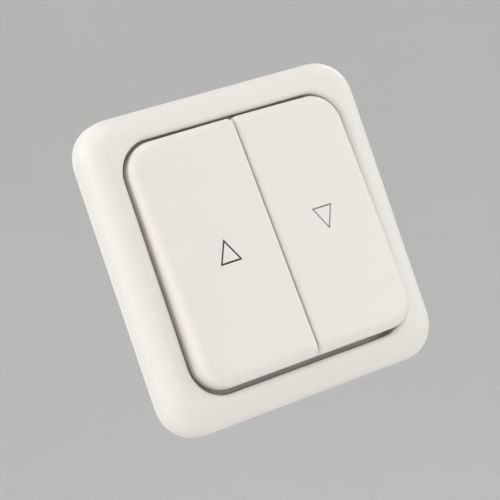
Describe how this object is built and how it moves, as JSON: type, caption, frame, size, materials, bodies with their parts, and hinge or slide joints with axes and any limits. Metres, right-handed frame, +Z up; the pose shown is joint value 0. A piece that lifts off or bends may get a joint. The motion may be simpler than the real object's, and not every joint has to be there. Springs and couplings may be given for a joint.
{
  "type": "roller shutter switch",
  "caption": "Flush-mounted roller shutter switch: square rolled frame, two tall rockers marked with up and down triangles, and the insert behind with terminals and claws.",
  "frame": {"origin": "centre of the device screw pattern, in the plane of the finished wall", "axes": "+X to the right as seen by the user, +Y into the wall, +Z up"},
  "size_m": [0.0804, 0.041, 0.0804],
  "materials": {
    "cover_white": "warm white moulded thermoplastic, smooth satin gloss",
    "ring_steel": "zinc-plated punched sheet",
    "housing_grey": "light grey moulded thermoset, fine matt",
    "zinc_screw": "zinc-plated steel",
    "carrier_white": "natural white acetal",
    "plunger_black": "black acetal",
    "spring_steel": "bare spring steel",
    "contact_brass": "punched brass with silver contact faces",
    "button_orange": "orange acetal"
  },
  "bodies": {
    "root": {"cover_frame": "cover_white", "support_ring": "ring_steel", "base_housing": "housing_grey", "mechanism_cover": "housing_grey", "housing_screws": "zinc_screw", "up_contact": "contact_brass", "down_contact": "contact_brass", "feed_bar": "contact_brass", "link_bar": "contact_brass", "clamp_spring_up": "spring_steel", "clamp_spring_down": "spring_steel", "clamp_spring_feed": "spring_steel"},
    "rocker_up": {"rocker_up": "cover_white", "actuator_up": "carrier_white", "plunger_up": "plunger_black", "toggle_spring_up": "spring_steel"},
    "contact_rocker_up": {"contact_rocker_up": "contact_brass"},
    "rocker_down": {"rocker_down": "cover_white", "actuator_down": "carrier_white", "plunger_down": "plunger_black", "toggle_spring_down": "spring_steel"},
    "contact_rocker_down": {"contact_rocker_down": "contact_brass"},
    "release_button_up": {"release_button_up": "button_orange"},
    "release_button_down": {"release_button_down": "button_orange"},
    "release_button_feed": {"release_button_feed": "button_orange"},
    "claw_screw_left": {"claw_screw_left": "zinc_screw"},
    "claw_nut_left": {"claw_nut_left": "zinc_screw"},
    "claw_left": {"claw_left": "ring_steel"},
    "claw_screw_right": {"claw_screw_right": "zinc_screw"},
    "claw_nut_right": {"claw_nut_right": "zinc_screw"},
    "claw_right": {"claw_right": "ring_steel"}
  },
  "joints": [
    {"name": "rocker_up_hinge", "type": "hinge", "parent": "root", "child": "rocker_up", "pos_m": [0, -0.005, 0], "axis": [1, 0, 0], "range_deg": [0, 7.2]},
    {"name": "contact_rocker_up_hinge", "type": "hinge", "parent": "root", "child": "contact_rocker_up", "pos_m": [-0.0115, 0.01005, 0], "axis": [1, 0, 0], "range_deg": [-12, 0]},
    {"name": "rocker_down_hinge", "type": "hinge", "parent": "root", "child": "rocker_down", "pos_m": [0, -0.005, 0], "axis": [1, 0, 0], "range_deg": [0, 7.2]},
    {"name": "contact_rocker_down_hinge", "type": "hinge", "parent": "root", "child": "contact_rocker_down", "pos_m": [0.0115, 0.01005, 0], "axis": [1, 0, 0], "range_deg": [-12, 0]},
    {"name": "release_button_up_slide", "type": "slide", "parent": "root", "child": "release_button_up", "axis": [0, -1, 0], "range_m": [0, 0.0012], "stiffness_N_per_m": 1500},
    {"name": "release_button_down_slide", "type": "slide", "parent": "root", "child": "release_button_down", "axis": [0, -1, 0], "range_m": [0, 0.0012], "stiffness_N_per_m": 1500},
    {"name": "release_button_feed_slide", "type": "slide", "parent": "root", "child": "release_button_feed", "axis": [0, -1, 0], "range_m": [0, 0.0012], "stiffness_N_per_m": 1500},
    {"name": "claw_nut_left_slide", "type": "slide", "parent": "root", "child": "claw_nut_left", "axis": [0, -1, 0], "range_m": [0, 0.0066]},
    {"name": "claw_screw_left_turn", "type": "hinge", "parent": "root", "child": "claw_screw_left", "pos_m": [-0.0252, 0, 0], "axis": [0, 1, 0], "range_deg": [0, 2971]},
    {"name": "claw_left_slide", "type": "slide", "parent": "root", "child": "claw_left", "axis": [-0.3443, -0.9389, 0], "range_m": [0, 0.00704]},
    {"name": "claw_nut_right_slide", "type": "slide", "parent": "root", "child": "claw_nut_right", "axis": [0, -1, 0], "range_m": [0, 0.0066]},
    {"name": "claw_screw_right_turn", "type": "hinge", "parent": "root", "child": "claw_screw_right", "pos_m": [0.0252, 0, 0], "axis": [0, 1, 0], "range_deg": [0, 2971]},
    {"name": "claw_right_slide", "type": "slide", "parent": "root", "child": "claw_right", "axis": [0.3443, -0.9389, 0], "range_m": [0, 0.00704]}
  ],
  "couplings": [
    {"joint": "contact_rocker_up_hinge", "follows": "rocker_up_hinge", "ratio": -1.6667},
    {"joint": "contact_rocker_down_hinge", "follows": "rocker_down_hinge", "ratio": -1.6667},
    {"joint": "claw_screw_left_turn", "follows": "claw_nut_left_slide", "rad_per_m": 7854},
    {"joint": "claw_left_slide", "follows": "claw_nut_left_slide", "ratio": 1.0651},
    {"joint": "claw_screw_right_turn", "follows": "claw_nut_right_slide", "rad_per_m": 7854},
    {"joint": "claw_right_slide", "follows": "claw_nut_right_slide", "ratio": 1.0651}
  ]
}
